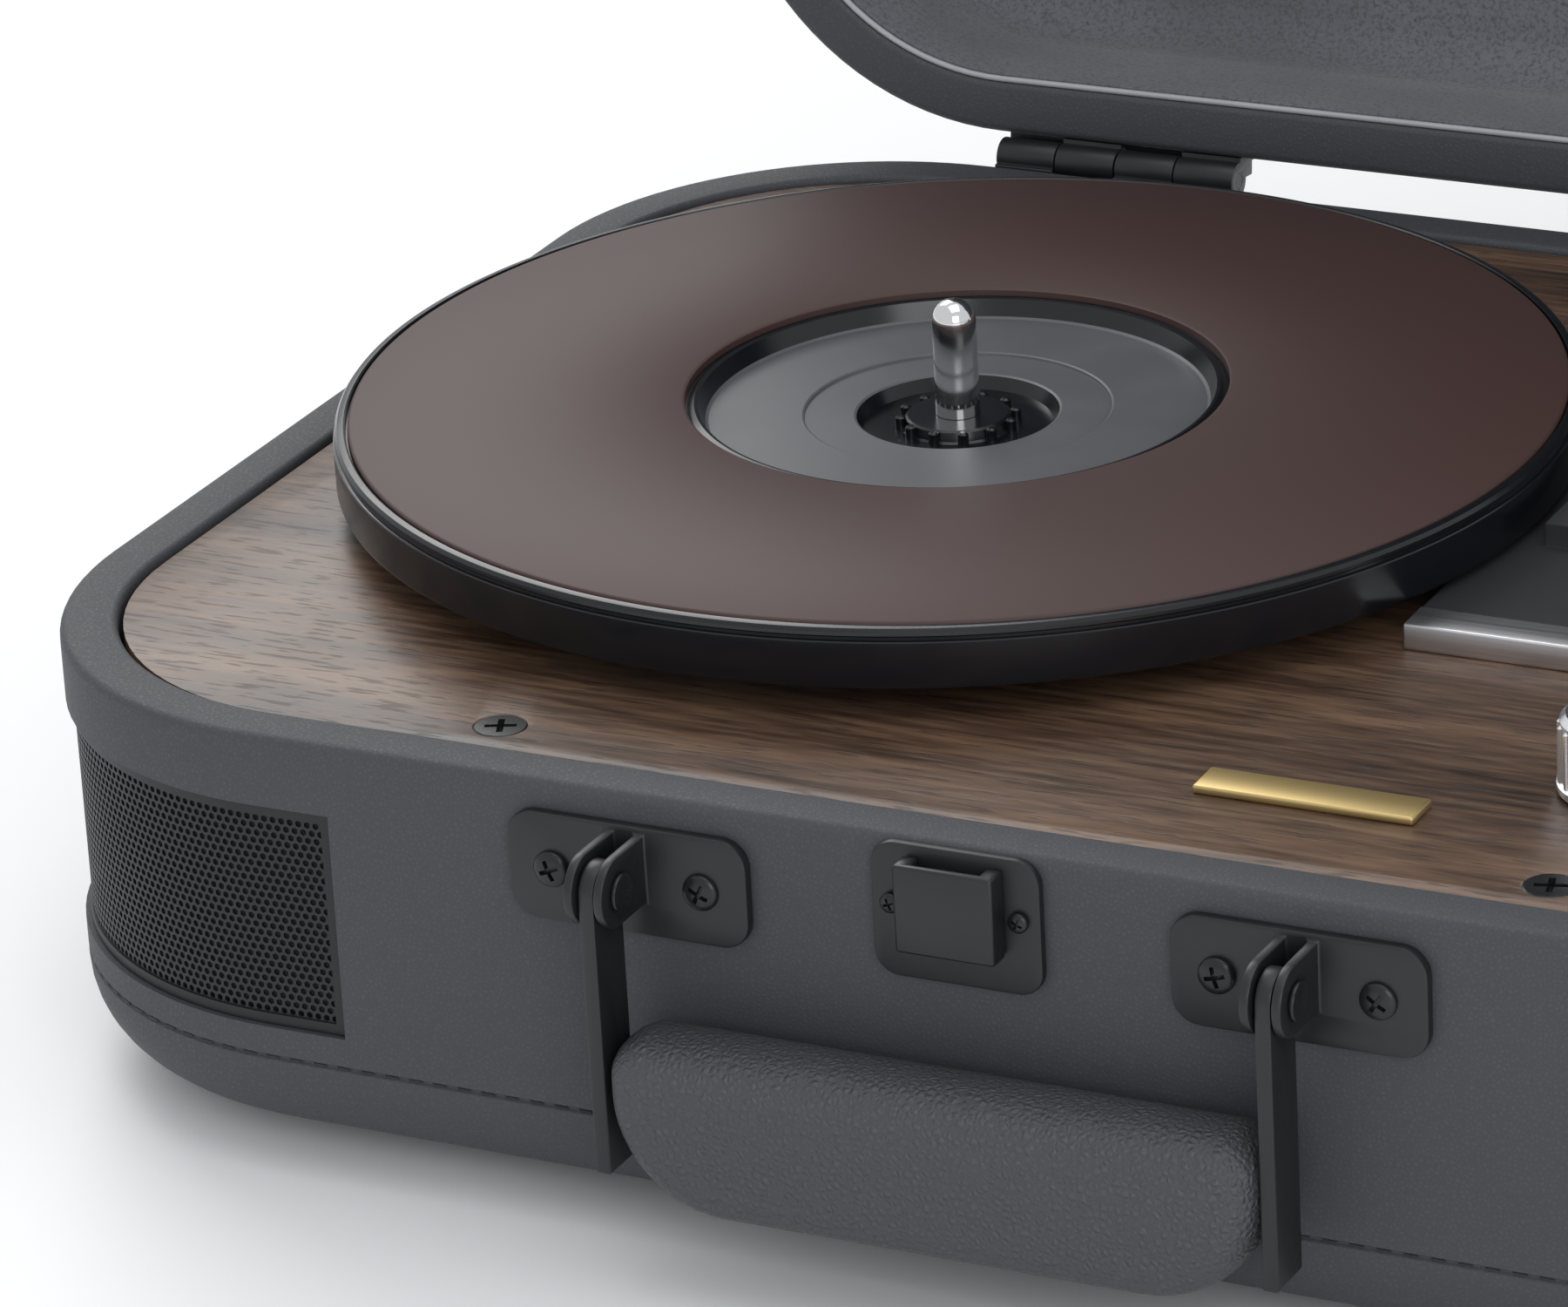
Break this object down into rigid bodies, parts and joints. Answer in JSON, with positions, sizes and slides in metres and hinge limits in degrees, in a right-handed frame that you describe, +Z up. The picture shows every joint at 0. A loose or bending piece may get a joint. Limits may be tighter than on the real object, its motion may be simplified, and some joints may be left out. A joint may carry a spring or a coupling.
{
  "type": "suitcase record player",
  "caption": "Suitcase record player with a belt-driven platter, tonearm, corner speakers, carrying handle, front catch and a hinged lid that stands open.",
  "frame": {"origin": "middle of the player's overall outline with its lid open, in the plane that its feet stand on", "axes": "+Z up, +X to the right as seen from the handle side, +Y to the hinge side"},
  "size_m": [0.355, 0.3607, 0.3522],
  "materials": {
    "case_leather": "grained charcoal leatherette over board",
    "grip_leather": "grained charcoal leatherette over a foam core",
    "lining_felt": "fine grey lining",
    "deck_walnut": "satin walnut foil",
    "mat_brown": "matt dark brown mat",
    "black_plastic": "satin black",
    "black_metal": "satin black enamel",
    "trim_aluminium": "brushed",
    "bright_chrome": "polished",
    "gold_trim": "satin",
    "steel": "plain",
    "rubber_black": "matt",
    "speaker_paper": "black paper",
    "board_green": "circuit board",
    "stylus_red": "clear red"
  },
  "bodies": {
    "base": {"base_shell": "case_leather", "base_feet": "rubber_black", "deck_panel": "deck_walnut", "deck_screws": "black_metal", "emblem_plate": "gold_trim", "spindle_bearing": "steel", "motor_body": "steel", "motor_screws": "steel", "drive_belt": "rubber_black", "arm_plinth": "black_plastic", "plinth_trim": "trim_aluminium", "tonearm_turret": "black_plastic", "arm_rest": "black_plastic", "control_cans": "black_plastic", "main_board": "board_green", "rear_jack_panel": "black_plastic", "dc_jack": "black_plastic", "audio_jacks": "black_plastic", "rca_jacks": "steel", "left_speaker_grille": "black_metal", "right_speaker_grille": "black_metal", "speaker_baffles": "black_plastic", "speaker_cones": "speaker_paper", "speaker_magnets": "steel", "handle_brackets": "black_metal", "handle_pins": "black_metal", "bracket_screws": "black_metal", "lock_plate": "black_metal", "lock_screws": "black_metal", "hinge_pins": "black_metal", "hinge_base_leaves": "black_metal", "hinge_base_screws": "black_metal"},
    "platter": {"platter": "black_plastic", "slip_mat": "mat_brown", "spindle": "bright_chrome"},
    "pulley": {"motor_pulley": "black_plastic"},
    "arm_yoke": {"tonearm_yoke": "black_plastic", "arm_pivot_pin": "steel"},
    "arm": {"tonearm_tube": "trim_aluminium", "headshell": "black_plastic", "cartridge": "black_plastic", "stylus": "stylus_red", "counterweight": "trim_aluminium"},
    "cue_lever": {"cue_lever": "black_plastic"},
    "cue_lift": {"cue_lift": "black_plastic"},
    "volume_knob": {"volume_knob": "bright_chrome"},
    "mode_knob": {"mode_knob": "bright_chrome"},
    "speed_lever": {"speed_lever": "black_plastic"},
    "autostop_switch": {"autostop_switch": "black_plastic"},
    "lock_slider": {"lock_slider": "black_metal"},
    "handle": {"handle_left_arm": "black_metal", "handle_right_arm": "black_metal", "handle_grip": "grip_leather"},
    "lid": {"lid_shell": "case_leather", "lid_lining": "lining_felt", "hinge_lid_leaves": "black_metal", "hinge_lid_screws": "black_metal", "lid_hasp": "black_metal", "hasp_screws": "black_metal"}
  },
  "joints": [
    {"name": "lid_hinge", "type": "hinge", "parent": "base", "child": "lid", "pos_m": [0, 0.1112, 0.0755], "axis": [1, 0, 0], "range_deg": [0, 96]},
    {"name": "handle_swing", "type": "hinge", "parent": "base", "child": "handle", "pos_m": [0, -0.1733, 0.064], "axis": [-1, 0, 0], "range_deg": [0, 95]},
    {"name": "platter_spin", "type": "hinge", "parent": "base", "child": "platter", "pos_m": [-0.0625, -0.0278, 0.08], "axis": [0, 0, 1], "continuous": true},
    {"name": "pulley_spin", "type": "hinge", "parent": "base", "child": "pulley", "pos_m": [-0.1219, 0.0316, 0.08], "axis": [0, 0, 1], "continuous": true},
    {"name": "tonearm_swing", "type": "hinge", "parent": "base", "child": "arm_yoke", "pos_m": [0.138, 0.0342, 0.092], "axis": [0, 0, -1], "range_deg": [0, 65]},
    {"name": "tonearm_lift", "type": "hinge", "parent": "arm_yoke", "child": "arm", "pos_m": [0.138, 0.0342, 0.1], "axis": [-1, 0, 0], "range_deg": [0, 3]},
    {"name": "cue_lever_turn", "type": "hinge", "parent": "base", "child": "cue_lever", "pos_m": [0.151, 0.0052, 0.072], "axis": [-1, 0, 0], "range_deg": [0, 60]},
    {"name": "cue_lift_rise", "type": "slide", "parent": "base", "child": "cue_lift", "axis": [0, 0, 1], "range_m": [0, 0.0015]},
    {"name": "volume_turn", "type": "hinge", "parent": "base", "child": "volume_knob", "pos_m": [0.084, -0.1098, 0.08], "axis": [0, 0, -1], "range_deg": [0, 300]},
    {"name": "mode_turn", "type": "hinge", "parent": "base", "child": "mode_knob", "pos_m": [0.112, -0.1098, 0.08], "axis": [0, 0, -1], "range_deg": [0, 120]},
    {"name": "speed_slide", "type": "slide", "parent": "base", "child": "speed_lever", "axis": [1, 0, 0], "range_m": [0, 0.012]},
    {"name": "autostop_slide", "type": "slide", "parent": "base", "child": "autostop_switch", "axis": [1, 0, 0], "range_m": [0, 0.005]},
    {"name": "lock_release", "type": "slide", "parent": "base", "child": "lock_slider", "axis": [0, 0, -1], "range_m": [0, 0.0025], "stiffness_N_per_m": 300, "springref_m": -0.003}
  ],
  "couplings": [
    {"joint": "pulley_spin", "follows": "platter_spin", "ratio": 10.333},
    {"joint": "tonearm_lift", "follows": "cue_lever_turn", "ratio": 0.0499},
    {"joint": "cue_lift_rise", "follows": "cue_lever_turn", "m_per_rad": 0.0014323}
  ]
}
